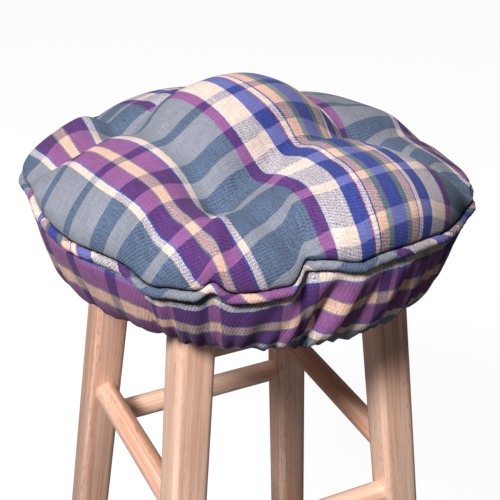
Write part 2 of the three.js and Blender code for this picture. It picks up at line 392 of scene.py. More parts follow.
# Dark weft bands that cross the piping, by distance along the rim
BIAS_BANDS = [
    (-149, -137),
    (-104, -72.7),
    (-61.7, -45.4),
    (-5.2, 0.8),
    (42.4, 51.6),
    (74.8, 103.2),
    (120.5, 158),
    (178, 196),
    (220, 262),
    (275, 310),
    (322, 358),
    (380, 404),
    (448, 464),
    (522, 533),
    (596, 640),
    (652, 688),
    (700, 737),
    (760, 785),
    (829, 845),
    (903, 914),
    (977, 1020),
]

YARN_PITCH = 0.8
RIB_SHIFT = 4.5  # shifts the pattern of the cloth's fine ribs
BANDS_PER_RAMP = 14  # a colour ramp holds 32 stops at most, and a band takes two

# The cloth simulation: how long it runs, how stiff the cloth is, how much larger the cloth is than its place,
# and how far a point may move
SETTLE_FRAMES = 20
BENDING = 0.15
PANEL_GROWTH = 0.09
PANEL_CAP = 4
SKIRT_GROWTH = 0.07
SKIRT_CAP = 6
# How firmly a point is held, 1 being sewn fast: anywhere on the panel, on the skirt, and along a tuck
PANEL_HOLD = 0.02
SKIRT_HOLD = 0.03
TUCK_HOLD = 0.45
TUCK_HOLD_REACH = 4  # distance over which a tuck's hold fades
TUFT_HOLD_REACH = 5  # distance from a tuft up to which the cloth is sewn fast
PANEL_SEWN = 3  # degrees of turn that are sewn fast at the panel's edge
SKIRT_SEWN = 0.93  # share of the way up the skirt at which its seam begins
HEM_SEWN = 0.02  # share of the way up at which its hem ends

# How finely the cloth's length is measured, for its flat map
ARC_ROWS = 180
ARC_STEP = 0.5  # degrees between the rays along which it is measured
ARC_EVENNESS = 6  # degrees over which neighbouring rays are evened out

PIPING_STEPS = 900
PIPING_SIDES = 14
SKIRT_ROWS = 18
WELD = 0.02  # points nearer than this are joined, where a ring closes
FOOT_ARRIS = 1.2
CLEAT_THICKNESS = 20
CRISP_ANGLE = 35  # edges sharper than this stay crisp
# Each piece is cut from its own place in the wood, so that no two show the same grain: the step from one
# place to the next in metres, and the places of the first rung, the first cleat and the seat, after the legs
GRAIN_STEP = (0.37, 0.21, 0.5)
RUNG_GRAIN = 5
CLEAT_GRAIN = 20
SEAT_GRAIN = 31

# The photograph's camera, in metres and degrees
CAMERA_PLACE = (-0.3526, -0.7142, 1.1325)
CAMERA_AZIMUTH = -26.66
CAMERA_ELEVATION = 28.64
CAMERA_ROLL = 1.26
CAMERA_LENS = 75.70

# Studio lights: name, place and size in metres, power in watts
LIGHTS = [
    ("key", (-1.38, -1.05, 2.39), 0.5, 92),
    ("top", (-0.3, 0.9, 2.5), 1.2, 12),
]
LIGHT_AIM = (0, 0, 0.75)
AMBIENT = 0.1
FLOOR_GREY = 0.14
FLOOR_GLOW = 0.93  # the floor's own white, which only the camera sees
FLOOR_SIZE = 12


def size_setting(name, description, millimetres, least=0):
    """A size that the user can change."""
    default = millimetres * MM
    return FloatProperty(name=name, description=description, default=default, min=least * MM, unit="LENGTH")


def count_setting(name, description, default, least, most):
    """A number of faces that the user can change."""
    return IntProperty(name=name, description=description, default=default, min=least, max=most)


def colour_setting(name, description, red, green, blue):
    """A colour that the user can change, given as screen values."""
    default = linear(red, green, blue)
    return FloatVectorProperty(name=name, description=description, subtype="COLOR", default=default)


class ClothSettings(bpy.types.PropertyGroup):
    """Sizes and colours of the plaid cloth. Each yarn has a colour over a light weft and over a dark one."""

    piping_radius: size_setting("Piping radius", "Radius of the corded piping", 3.6, 1)
    sheet_thickness: size_setting("Cloth thickness", "Thickness of the skirt's cloth", 1.2, 0.4)
    gather_depth: size_setting("Gather depth", "Depth of the gathers at the hem", 3.6)
    panel_steps: count_setting("Panel steps", "Faces across the top panel before smoothing", 140, 40, 160)
    skirt_steps: count_setting("Skirt steps", "Faces round the skirt before smoothing", 600, 120, 900)
    slate: colour_setting("Slate", "Slate yarn over a light weft", 126, 129, 140)
    slate_dark: colour_setting("Slate, dark", "Slate yarn over a dark weft", 75, 91, 115)
    cream: colour_setting("Cream", "Cream yarn over a light weft", 208, 187, 176)
    cream_dark: colour_setting("Cream, dark", "Cream yarn over a dark weft", 160, 154, 163)
    purple: colour_setting("Purple", "Purple yarn over a light weft", 132, 83, 131)
    purple_dark: colour_setting("Purple, dark", "Purple yarn over a dark weft", 75, 46, 101)
    peach: colour_setting("Peach", "Peach yarn over a light weft", 212, 172, 154)
    peach_dark: colour_setting("Peach, dark", "Peach yarn over a dark weft", 150, 126, 132)
    blue: colour_setting("Blue", "Royal blue yarn over a light weft", 97, 101, 159)
    blue_dark: colour_setting("Blue, dark", "Royal blue yarn over a dark weft", 46, 60, 128)
    green: colour_setting("Green", "Grey green yarn over a light weft", 118, 132, 132)
    green_dark: colour_setting("Green, dark", "Grey green yarn over a dark weft", 74, 98, 110)
    red: colour_setting("Red", "Dull red yarn over a light weft", 150, 80, 120)
    red_dark: colour_setting("Red, dark", "Dull red yarn over a dark weft", 110, 45, 100)
    navy: colour_setting("Navy", "Navy yarn over a light weft", 70, 80, 145)
    navy_dark: colour_setting("Navy, dark", "Navy yarn over a dark weft", 40, 50, 120)
    white: colour_setting("White", "White yarn over a light weft", 212, 194, 184)
    white_dark: colour_setting("White, dark", "White yarn over a dark weft", 166, 160, 169)


class WoodSettings(bpy.types.PropertyGroup):
    """Sizes and colours of the stool's wood."""

    leg_side: size_setting("Leg side", "Width of a square leg", 32, 10)
    leg_arris: size_setting("Leg arris", "Rounding of a leg's long edges", 6)
    board_arris: size_setting("Board arris", "Rounding of the cleats' edges", 1.5)
    seat_edge: size_setting("Seat edge", "Rounding of the seat's edges", 8)
    pale: colour_setting("Pale wood", "Colour between the pores", 252, 213, 190)
    deep: colour_setting("Deep wood", "Colour of the grain's darker bands", 206, 145, 115)
    fleck: colour_setting("Flecks", "Colour of the short dark flecks", 148, 84, 60)


class Wire:
    """An output socket of a finish, so that shader maths is written as Python."""

    def __init__(self, finish, socket):
        self.finish = finish
        self.socket = socket

    def output(self, name):
        return Wire(self.finish, self.socket.node.outputs[name])

    def __add__(self, other):
        return self.finish.maths("ADD", self, other)

    def __sub__(self, other):
        return self.finish.maths("SUBTRACT", self, other)

    def __rsub__(self, other):
        return self.finish.maths("SUBTRACT", other, self)

    def __mul__(self, other):
        return self.finish.maths("MULTIPLY", self, other)

    def __truediv__(self, other):
        return self.finish.maths("DIVIDE", self, other)

    def __mod__(self, other):
        return self.finish.maths("FLOORED_MODULO", self, other)

    __radd__ = __add__
    __rmul__ = __mul__


class Finish:
    """A material with one Principled shader, and the nodes that feed it."""

    def __init__(self, name, **constants):
        self.material = bpy.data.materials.new(name)
        self.material.use_nodes = True
        self.tree = self.material.node_tree
        self.shader = self.tree.nodes["Principled BSDF"]
        for socket, value in constants.items():
            self.shader.inputs[socket.replace("_", " ")].default_value = value

    def node(self, kind, settings=(), inputs=(), output=0):
        """Adds a node. Its settings, such as a ramp's stops, come before what feeds its sockets."""
        node = self.tree.nodes.new("ShaderNode" + kind)
        for name, value in dict(settings).items():
            if name == "stops":
                set_stops(node.color_ramp, value)
            else:
                setattr(node, name, value)
        for key, value in dict(inputs).items():
            self.feed(node.inputs[key], value)
        return Wire(self, node.outputs[output])

    def feed(self, socket, value):
        if isinstance(value, Wire):
            self.tree.links.new(value.socket, socket)
        else:
            socket.default_value = value

    def maths(self, operation, *values):
        return self.node("Math", {"operation": operation}, dict(enumerate(values)))

    def mix(self, factor, low, high):
        """A colour between low and high."""
        settings = {"data_type": "RGBA"}
        return self.node("Mix", settings, {0: factor, 6: opaque(low), 7: opaque(high)}, output=2)

    def tint(self, colour, factor):
        """A colour multiplied by a number that varies."""
        grey = self.node("CombineXYZ", (), {0: factor, 1: factor, 2: factor})
        return self.node("VectorMath", {"operation": "MULTIPLY"}, {0: colour, 1: grey})

    def ramp(self, position, stops, sharp=False):
        """Colours or values from stops; sharp ones change at once."""
        ramp = self.node("ValToRGB", {"stops": stops}, {0: position})
        ramp.socket.node.color_ramp.interpolation = "CONSTANT" if sharp else "LINEAR"
        return ramp

    def noise(self, vector, scale, detail=2.0):
        """A soft noise from 0 to 1 over a vector that is scaled differently along its axes."""
        place = self.node("VectorMath", {"operation": "MULTIPLY"}, {0: vector, 1: scale})
        return self.node("TexNoise", (), {"Vector": place, "Scale": 1.0, "Detail": detail})

    def surface(self, colour, roughness, height, strength, distance):
        """Feeds the shader's colour, roughness and bump."""
        bump = self.node("Bump", (), {"Strength": strength, "Distance": distance, "Height": height})
        self.feed(self.shader.inputs["Base Color"], colour)
        self.feed(self.shader.inputs["Roughness"], roughness)
        self.feed(self.shader.inputs["Normal"], bump)
        return self.material


def opaque(colour):
    return colour if isinstance(colour, Wire) else (*tuple(colour)[:3], 1.0)


def set_stops(ramp, stops):
    while len(ramp.elements) > 1:
        ramp.elements.remove(ramp.elements[-1])
    for index, (position, colour) in enumerate(stops):
        element = ramp.elements[0] if index == 0 else ramp.elements.new(position)
        element.position = position
        element.color = opaque(colour)


def warp_stops(cloth, weft):
    """Where each warp stripe starts, as a share of the half sequence, and its colour over that weft."""
    stops = []
    start = 0
    for yarn, width in WARP:
        stops.append((start / WARP_HALF, getattr(cloth, yarn + weft)))
        start += width
    return stops


def band_stops(bands, start, length):
    """Stops that are 1 in dark weft bands and 0 between them."""
    stops = [(0.0, (0, 0, 0))]
    for first, last in bands:
        stops.append(((first - start) / length, (1, 1, 1)))
        stops.append(((last - start) / length, (0, 0, 0)))
    return stops


def panel_bands():
    """The panel's dark weft bands, and the start and length of the stretch in which they lie."""
    bands = []
    start = WEFT_START
    for dark, light in WEFT:
        bands.append((start, start + dark))
        start += dark + light
    return bands, WEFT_START, start - WEFT_START


def plaid_finish(name, cloth, bands, start, length):
    """Woven plaid on the piece's own cloth map, u across the warp stripes and v along them."""
    finish = Finish(name, Specular_IOR_Level=0.12, Sheen_Weight=0.05, Sheen_Roughness=0.5)
    place = finish.node("UVMap", {"uv_map": "cloth"})
    axes = finish.node("SeparateXYZ", (), {0: place})
    across = axes.output("X") / MM
    along = axes.output("Y") / MM

    # The threads: where they cross, how unevenly they are spun, and how the cloth has worn
    warp_thread = finish.maths("SINE", across / YARN_PITCH * math.pi)
    weft_thread = finish.maths("SINE", along / YARN_PITCH * math.pi)
    crests = warp_thread * weft_thread
    ragged = finish.noise(place, (400, 900, 1), 1.0)
    slubs = finish.noise(place, (1100, 60, 1), 2.0) - 0.5
    picks = finish.noise(place, (70, 1000, 1), 2.0) - 0.5
    grit = finish.noise(place, (950, 950, 1), 1.5) - 0.5
    wear = finish.noise(place, (28, 28, 1), 3.0) - 0.5
    ribs = finish.maths("SINE", across * 0.8 + along * 2.4 + slubs * 2 + wear * 7 + RIB_SHIFT)

    # The stripes, their edges ragged by the threads
    saw = crests * 0.45 + (ragged - 0.5) * 1.3
    stripe = finish.maths("PINGPONG", across + saw - WARP_MIDDLE, WARP_HALF) / WARP_HALF
    over_light = finish.ramp(stripe, warp_stops(cloth, ""), sharp=True)
    over_dark = finish.ramp(stripe, warp_stops(cloth, "_dark"), sharp=True)
    run = ((along + saw * 0.8 - start) % length) / length
    dark = 0
    for first in range(0, len(bands), BANDS_PER_RAMP):
        stops = band_stops(bands[first:first + BANDS_PER_RAMP], start, length)
        dark = dark + finish.ramp(run, stops, sharp=True)

    speckle = crests * 0.25 + picks * 0.9 + grit * 2.6 + ribs * 0.12
    threads = slubs * 0.6 + picks * 0.75 + grit * 0.9 + crests * 0.05 + ribs * 0.045
    specks = dark * (grit * 2.2 + slubs * 0.5 + ribs * 0.15)
    colour = finish.mix(dark * (1 + speckle), over_light, over_dark)
    colour = finish.tint(colour, 1 + threads + specks + wear * 0.3)
    height = crests * 0.4 + picks * 0.4 + slubs * 0.3 + grit * 0.8 + ribs * 0.3
    return finish.surface(colour, 0.91 + picks * 0.1, height, 0.5, 0.0006)


def wood_finish(wood):
    """Pale hardwood under a satin lacquer, its grain along each piece's own third axis."""
    finish = Finish("lacquered_wood", Specular_IOR_Level=0.5, Coat_Roughness=0.24, Coat_IOR=1.5)
    grain = finish.node("Attribute", {"attribute_name": "grain"}, output="Vector")
    streaks = finish.noise(grain, (380, 380, 8), 3.0)
    figure = finish.noise(grain, (75, 75, 2.5), 3.0)
    clouds = finish.noise(grain, (7, 7, 3), 2.0)
    patches = finish.noise(grain, (60, 60, 4), 2.0)
    pores = finish.noise(grain, (900, 900, 110), 2.0)

    # Flecks show where the pores are widest, and most of them in some patches of the board
    zones = finish.ramp(patches, [(0.5, (0.15, 0.15, 0.15)), (0.62, (1, 1, 1))])
    flecks = finish.ramp(pores, [(0.56, (0, 0, 0)), (0.68, (1, 1, 1))]) * zones
    depth = (streaks - 0.5) * 1.5 + (figure - 0.5) * 1.5 + (clouds - 0.5) * 1.6 + 0.38
    depth = finish.maths("MINIMUM", finish.maths("MAXIMUM", depth, 0.0), 1.0)
    colour = finish.mix(depth, wood.pale, wood.deep)
    colour = finish.mix(flecks * 0.6, colour, wood.fleck)
    finish.feed(finish.shader.inputs["Coat Weight"], 0.55 + clouds * 0.3)
    height = streaks * 0.5 - flecks * 0.6
    return finish.surface(colour, 0.36 + streaks * 0.14, height, 0.16, 0.0004)


def curve_through(rows):
    """A smooth curve through rows of a position and values. Its slope at a row is that of its neighbours."""
    table = np.array(rows, float)
    at, values = table[:, 0], table[:, 1:]
    at = np.concatenate([[2 * at[0] - at[1]], at, [2 * at[-1] - at[-2]]])
    values = np.vstack([2 * values[0] - values[1], values, 2 * values[-1] - values[-2]])
    slopes = np.zeros_like(values)
    slopes[1:-1] = (values[2:] - values[:-2]) / (at[2:] - at[:-2])[:, None]

    def evaluate(position):
        position = np.asarray(position, float)
        left = np.clip(np.searchsorted(at, position, side="right") - 1, 1, len(at) - 3)
        span = at[left + 1] - at[left]
        t = ((position - at[left]) / span)[..., None]
        rise = span[..., None]
        return (
            (2 * t ** 3 - 3 * t ** 2 + 1) * values[left]
            + (t ** 3 - 2 * t ** 2 + t) * rise * slopes[left]
            + (3 * t ** 2 - 2 * t ** 3) * values[left + 1]
            + (t ** 3 - t ** 2) * rise * slopes[left + 1]
        )

    return evaluate


def ring_curve(rows):
    """A smooth curve once round, through rows of an angle and values."""
    return curve_through([(row[0] + turn, *row[1:]) for turn in (-360, 0, 360) for row in rows])


rim_curve = ring_curve(RIM)
hem_curve = ring_curve(HEM)
skirt_curve = curve_through(SKIRT)


def rim_at(degrees):
    """Radius, rise and lobe of the rim at an angle."""
    wrapped = (np.asarray(degrees, float) - RIM[0][0]) % 360 + RIM[0][0]
    radius, rise, lobe = np.moveaxis(rim_curve(wrapped), -1, 0)
    for middle, outward, upward, spread in KINKS:
        near = np.exp(-(apart(degrees, middle) / spread) ** 2)
        radius = radius + outward * near
        rise = rise + upward * near
    return radius, rise, lobe


def apart(degrees, middle):
    """Degrees from a middle, from -180 to 180."""
    return (degrees - middle + 180) % 360 - 180


def on_circle(radius, degrees):
    """The point at a radius and an angle, seen from above."""
    angle = np.radians(degrees)
    return np.stack(np.broadcast_arrays(radius * np.cos(angle), radius * np.sin(angle)), -1)


PLACES = {name: np.array(tuft[:2], float) for name, tuft in TUFTS.items()}
PLACES.update({name: on_circle(NOTCH_RADIUS, angle) for name, angle in NOTCH_ANGLES.items()})


def dent(depth, distance, spread):
    """A dent that falls off smoothly with distance."""
    return depth * np.exp(TUCK_SOFTNESS - np.hypot(distance / spread, TUCK_SOFTNESS))


def tuck_line(tuck, plan):
    """Share along a tuck of the nearest point on it, and the distance to it."""
    start, end = PLACES[tuck[0]], PLACES[tuck[1]]
    run = end - start
    along = np.clip((plan - start) @ run / (run @ run), 0, 1)
    distance = np.linalg.norm(plan - start - along[..., None] * run, axis=-1)
    return along, distance


def pulled_down(plan):
    """All tufts and tucks together, the deepest one winning softly."""
    total = 0
    for tuck in TUCKS:
        along, distance = tuck_line(tuck, plan)
        _, _, first, middle, last, spread = tuck
        ends = first + (last - first) * along
        depth = ends + (middle - ends) * np.sin(np.pi * along)
        total = total + dent(depth, distance, spread) ** TUCK_BLEND
    for name, (_, _, depth) in TUFTS.items():
        distance = np.linalg.norm(plan - PLACES[name], axis=-1)
        total = total + dent(depth, distance, TUFT_SPREAD) ** TUCK_BLEND
    nips = 0
    for x, y, depth, spread in NIPS:
        distance = np.hypot(plan[..., 0] - x, plan[..., 1] - y)
        nips = nips + depth * np.exp(-(distance / spread) ** NIP_FALL)
    return total ** (1 / TUCK_BLEND) + nips


def panel_points(turn, degrees):
    """The top panel from the crown, at turn 0, over the bulge to the seam, at PANEL_END."""
    radius, rise, lobe = rim_at(degrees)
    level = np.cos(np.radians(turn))
    outward = np.sin(np.radians(np.minimum(turn, 90)))
    plan = on_circle(radius * np.sin(np.radians(turn)) ** PANEL_FULLNESS, degrees)
    middle_place = np.array([MIDDLE_LOBE["x"], MIDDLE_LOBE["y"]])
    from_lobe = np.linalg.norm(plan - middle_place, axis=-1) / MIDDLE_LOBE["radius"]
    middle = MIDDLE_LOBE["height"] * np.maximum(1 - from_lobe ** 2, 0) ** LOBE_FALL
    crown = CROWN + (lobe - CROWN) * outward ** 2
    upper = np.maximum(level, 0)
    dome = np.where(level > 0, crown * upper ** DOME_FULLNESS, BULGE_DROP * level)
    hold = upper ** HOLD_FADE
    height = RIM_HEIGHT + BULGE + rise * outward ** 3 + dome + middle - pulled_down(plan) * hold
    return np.concatenate([plan, height[..., None]], -1)


def cloth_reach():
    """A function that gives the length of cloth from the panel's middle to a turn at an angle."""
    turns = np.linspace(0, PANEL_END, ARC_ROWS)
    angles = np.arange(0, 360, ARC_STEP)
    points = panel_points(turns[:, None], angles[None, :])
    lengths = np.linalg.norm(np.diff(points, axis=0), axis=2).cumsum(axis=0)
    lengths = np.vstack([np.zeros((1, len(angles))), lengths])
    reach = int(3 * ARC_EVENNESS / ARC_STEP)
    shifts = np.arange(-reach, reach + 1)
    weights = np.exp(-0.5 * (shifts * ARC_STEP / ARC_EVENNESS) ** 2)
    total = sum(weight * np.roll(lengths, shift, axis=1) for weight, shift in zip(weights, shifts))
    even = total / weights.sum()

    def reach_at(turn, degrees):
        row = np.clip(turn / PANEL_END, 0, 1) * (ARC_ROWS - 1)
        column = (degrees % 360) / ARC_STEP
        low_row = np.minimum(row.astype(int), ARC_ROWS - 2)
        low_column = column.astype(int) % len(angles)
        next_column = (low_column + 1) % len(angles)
        share = column - column.astype(int)
        low = even[low_row, low_column] * (1 - share) + even[low_row, next_column] * share
        high = even[low_row + 1, low_column] * (1 - share) + even[low_row + 1, next_column] * share
        return low + (high - low) * (row - low_row)

    return reach_at


def pulled_cloth(plan):
    """How far the warp and weft are drawn at points seen from above."""
    table = np.array(PULLS, float)
    places, pulls = table[:, :2], table[:, 2:]

    def nearness(points):
        squares = ((points[..., None, :] - places) ** 2).sum(-1)
        return np.exp(-squares / PULL_REACH ** 2)

    shares = np.linalg.solve(nearness(places) + PULL_EASE * np.eye(len(places)), pulls)
    return nearness(plan) @ shares


def mesh_from(bm, name):
    """The mesh of a bmesh, which is freed."""
    mesh = bpy.data.meshes.new(name)
    bm.to_mesh(mesh)
    bm.free()
    return mesh


def linked(name, data):
    """An object in the scene."""
    item = bpy.data.objects.new(name, data)
    bpy.context.scene.collection.objects.link(item)
    return item


def finished(name, bm, material, node):
    """A smooth mesh object at the origin from a bmesh, standing for a CAD node and riding on the stool."""
    mesh = mesh_from(bm, name)
    piece = linked(name, mesh)
    mesh.materials.append(material)
    mesh.polygons.foreach_set("use_smooth", [True] * len(mesh.polygons))
    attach(piece, "root")
    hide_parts(node)
    return piece


def coordinates(bm):
    return np.array([vertex.co for vertex in bm.verts])


def place_vertices(bm, points):
    for vertex, point in zip(bm.verts, points):
        vertex.co = point


def make_cushion(cloth):
    """The stuffed pad: its panel from a grid drawn out to a disc, its underside from the rim of that grid."""
    bm = bmesh.new()
    bmesh.ops.create_grid(bm, x_segments=cloth.panel_steps, y_segments=cloth.panel_steps, size=1)
    square = coordinates(bm)
    x = square[:, 0] * np.sqrt(1 - square[:, 1] ** 2 / 2)
    y = square[:, 1] * np.sqrt(1 - square[:, 0] ** 2 / 2)
    turn = np.minimum(np.hypot(x, y), 1) * PANEL_END
    degrees = np.degrees(np.arctan2(y, x))
    points = panel_points(turn, degrees)
    place_vertices(bm, points * MM)

    arcs = cloth_reach()(turn, degrees)
    map_cloth(bm, on_circle(arcs, degrees - CLOTH_TURN) + pulled_cloth(points[:, :2]))
    growth = np.full(len(turn), PANEL_GROWTH)
    panel = settled(mesh_from(bm, "panel"), panel_hold(turn, points[:, :2]), growth, PANEL_CAP * MM)
    material = plaid_finish("woven_plaid", cloth, *panel_bands())
    piece = finished("cushion_pad", closed_pad(smoothed(panel)), material, "cushion")


def panel_hold(turn, plan):
    """How firmly the panel is held: sewn at its rim and its tufts, tugged along the tucks."""
    hold = np.where(turn > PANEL_END - PANEL_SEWN, 1.0, PANEL_HOLD)
    for tuck in TUCKS:
        _, distance = tuck_line(tuck, plan)
        hold = np.maximum(hold, TUCK_HOLD * np.exp(-(distance / TUCK_HOLD_REACH) ** 2))
    for name in TUFTS:
        distance = np.linalg.norm(plan - PLACES[name], axis=1)
        hold = np.where(distance < TUFT_HOLD_REACH, 1.0, hold)
    return hold


def evaluated_mesh(item):
    """A new mesh that has an object's modifiers in it."""
    return bpy.data.meshes.new_from_object(item.evaluated_get(bpy.context.evaluated_depsgraph_get()))


def smoothed(mesh):
    """A mesh after one subdivision."""
    draft = linked("draft", mesh)
    modifier = draft.modifiers.new("smooth", "SUBSURF")
    modifier.levels = modifier.render_levels = 1
    done = evaluated_mesh(draft)
    bpy.data.objects.remove(draft)
    return done


def closed_pad(panel):
    """The panel with the pad's underside grown from its rim."""
    bm = bmesh.new()
    bm.from_mesh(panel)
    rim = [edge for edge in bm.edges if edge.is_boundary]
    for radius, rise in UNDERSIDE:
        grown = bmesh.ops.extrude_edge_only(bm, edges=rim)["geom"]
        rim = [item for item in grown if isinstance(item, bmesh.types.BMEdge)]
        for vertex in [item for item in grown if isinstance(item, bmesh.types.BMVert)]:
            angle = math.degrees(math.atan2(vertex.co.y, vertex.co.x))
            scale = float(rim_at(angle)[0]) / RIM_RADIUS if rise else 1
            vertex.co.xy = on_circle(radius * scale * MM, angle)
            vertex.co.z = (SEAT_TOP + GAP + rise) * MM
    bmesh.ops.contextual_create(bm, geom=rim)
    bmesh.ops.recalc_face_normals(bm, faces=bm.faces)
    return bm


def ring_grid(steps, rows, start):
    """A strip of faces once round: its bmesh, each vertex's angle, and its share of the way up."""
    bm = bmesh.new()
    bmesh.ops.create_grid(bm, x_segments=steps, y_segments=rows, size=1)
    square = coordinates(bm)
    return bm, start + (square[:, 0] + 1) * 180, (square[:, 1] + 1) / 2


def map_cloth(bm, flat):
    """Gives each vertex its place on the flat cloth, in metres, as the map that the plaid reads."""
    layer = bm.loops.layers.uv.new("cloth")
    bm.verts.index_update()
    for face in bm.faces:
        for loop in face.loops:
            loop[layer].uv = flat[loop.vert.index] * MM


def around_waves(waves, degrees, shift=0):
    """An uneven ripple round the ring, from -1 to 1: waves of nearly the same length added up."""
    angle = np.radians(degrees)
    return sum(np.cos(count * angle + phase + shift) for count, phase in waves) / len(waves)


def settled(mesh, held, growth, cap):
    """Each point has a hold from 0 to 1 and a
    growth: the share by which the cloth there is larger than the mesh, so that it puckers. No point moves
    further than the cap."""
    scene = bpy.context.scene
    draft = linked("draft", mesh)
    for name, weights in (("held", held), ("grown", growth / max(growth))):
        group = draft.vertex_groups.new(name=name)
        for index, weight in enumerate(weights):
            group.add([index], float(weight), "REPLACE")
    modifier = draft.modifiers.new("settle", "CLOTH")
    settings = modifier.settings
    settings.quality = 6
    settings.mass = 0.12
    settings.tension_stiffness = settings.compression_stiffness = 12
    settings.shear_stiffness = 4
    settings.bending_stiffness = BENDING
    settings.air_damping = 2
    settings.vertex_group_mass = "held"
    settings.vertex_group_shrink = "grown"
    settings.shrink_min = 0
    settings.shrink_max = -max(growth)
    settings.effector_weights.gravity = 0
    modifier.point_cache.frame_end = SETTLE_FRAMES
    for number in range(1, SETTLE_FRAMES + 1):
        scene.frame_set(number)
    done = evaluated_mesh(draft)
    start = np.array([vertex.co for vertex in mesh.vertices])
    moved = np.array([vertex.co for vertex in done.vertices]) - start
    bpy.data.objects.remove(draft)
    scene.frame_set(1)
    far = np.maximum(np.linalg.norm(moved, axis=1, keepdims=True), 1e-9)
    moved = moved * np.tanh(far / cap) * cap / far
    for vertex, place in zip(done.vertices, start + moved):
        vertex.co = place
    return done


def closed_ring(bm):
    """Joins the ends of a ring and turns its faces outwards."""
    bmesh.ops.remove_doubles(bm, verts=bm.verts, dist=WELD * MM)
    bmesh.ops.recalc_face_normals(bm, faces=bm.faces)


def piping_bands():
    """The dark bands that cross the piping, and the start and length of the stretch in which they lie."""
    start = -BIAS_LEAD * RIM_SCALE * BIAS_SLOPE
    length = 360 * RIM_SCALE * BIAS_SLOPE
    bands = []
    for first, last in BIAS_BANDS:
        begin = (first * BIAS_SLOPE - start) % length + start
        bands.append((begin, begin + (last - first) * BIAS_SLOPE))
    return sorted(bands), start, length


def bias_warp(along):
    """The warp position of the cloth along the piping. Past the table's ends the cloth lies straight."""
    table = np.array(BIAS_WARP)
    beyond = np.minimum(along - table[0, 0], 0) + np.maximum(along - table[-1, 0], 0)
    return np.interp(along, table[:, 0], table[:, 1]) + BIAS_SLOPE * beyond


def make_piping(cloth):
    """The corded bias piping along the rim."""
    bm, degrees, share = ring_grid(PIPING_STEPS, PIPING_SIDES, BIAS_START - BIAS_LEAD)
    radius, rise, _ = rim_at(degrees)
    around = share * 360 - 180
    ripple = around_waves(SEAM_PUCKERS, degrees * 2, np.radians(around))
    cord = cloth.piping_radius / MM + CORD_RIPPLE * ripple
    section = on_circle(cord, around)
    ring = radius + section[:, 0] + CORD_WANDER * around_waves(SEAM_PUCKERS, degrees)
    height = RIM_HEIGHT + rise + section[:, 1] + CORD_WANDER * around_waves(HEM_GATHERS, degrees)
    place_vertices(bm, np.column_stack([on_circle(ring, degrees), height]) * MM)
    along = (degrees - BIAS_START) * RIM_SCALE
    across = np.radians(around) * cord
    map_cloth(bm, np.column_stack([bias_warp(along) + BIAS_SLOPE * across, BIAS_SLOPE * (along - across)]))
    closed_ring(bm)
    material = plaid_finish("plaid_bias", cloth, *piping_bands())
    finished("bias_piping", bm, material, "piping")


def skirt_points(share, degrees, depth):
    """The gathered skirt: share is 0 at the hem and 1 at the rim."""
    radius, rise, _ = rim_at(degrees)
    lift, swell, _, fine, _, _ = hem_curve(apart(degrees, 0)).T
    top = RIM_HEIGHT + rise - CORD_RADIUS - GAP
    height = HEM_HEIGHT + lift + (top - HEM_HEIGHT - lift) * share
    base = skirt_curve(HEM_HEIGHT + (top - HEM_HEIGHT) * share)[:, 0]
    recess = SEAM_RECESS * np.exp(-((top - height) / SEAM_RECESS_HEIGHT) ** 2)
    ring = base + (radius - RIM_RADIUS) * share ** 2 + swell * np.sin(np.pi * share ** SWELL_PEAK) - recess
    leaning = degrees - SLANT * share * np.exp(-(apart(degrees, SLANT_MIDDLE) / SLANT_SPREAD) ** 2)
    ring = ring + coarse_gathers(share, leaning, depth)
    ring = ring + fine * ridges(HEM_GATHERS, leaning, HEM_SHARPNESS) * (1 - share) ** HEM_FADE
    long_fade = (1 - share) ** LONG_FADE * share ** LONG_START
    ring = ring + LONG_DEPTH * ridges(LONG_GATHERS, leaning, LONG_SHARPNESS) * long_fade
    under = np.exp(-(top - height) / SEAM_PUCKER_REACH)
    ring = ring + SEAM_PUCKER_DEPTH * around_waves(SEAM_PUCKERS, degrees) * under * (share < 1)
    hem_wave = HEM_WAVE * around_waves(HEM_GATHERS, leaning, HEM_WAVE_SHIFT)
    height = height + fine * hem_wave * (1 - share) ** HEM_WAVE_FADE
    return np.column_stack([on_circle(ring, degrees), height])


def ridges(waves, degrees, sharpness):
    """Round ridges with narrow creases between them."""
    return np.sqrt(0.5 + 0.5 * np.tanh(sharpness * around_waves(waves, degrees))) - RIDGE_MEAN


def coarse_gathers(share, degrees, depth):
    """The larger gathers and the folds that stand out of the skirt. Slow waves shift the gathers sideways and
    make some deeper than others."""
    angle = np.radians(degrees)
    shift = 0.9 * np.sin(3 * angle) + 0.6 * np.sin(7 * angle + 1)
    wave = np.cos(GATHERS * angle + shift)
    uneven = 0.75 + 0.25 * np.sin(5 * angle + 2)
    gathers = 0.5 * depth * wave * uneven * (1 - share) ** GATHER_FADE
    folds = 0
    for middle, spread, height in FOLDS:
        folds = folds + height * np.exp(-(apart(degrees, middle) / spread) ** 2)
    return gathers + folds * np.sin(np.pi * share ** FOLD_PEAK)


def skirt_cloth(share, degrees):
    """The skirt's places on the flat cloth: warp from the rim down, weft from the joining seam round."""
    _, _, lowered, _, drop, crowd = hem_curve(apart(degrees, 0)).T
    warp = WARP_MIDDLE + SKIRT_WARP - lowered + drop * (1 - share) * (1 + crowd * share)
    step = SKIRT_STEP * (share - SKIRT_MEET) / (1 - SKIRT_MEET)
    from_seam = degrees - SKIRT_SEAM
    warp = warp + step * np.clip((from_seam - SKIRT_STEP_AWAY) / SKIRT_STEP_FADE, 0, 1)
    return np.column_stack([warp, from_seam * RIM_SCALE])


def skirt_bands():
    """The skirt's dark weft bands, and the start and length of the stretch in which they lie."""
    bands = [tuple((angle - SKIRT_SEAM) * RIM_SCALE for angle in band) for band in SKIRT_BANDS]
    return bands, 0, 360 * RIM_SCALE


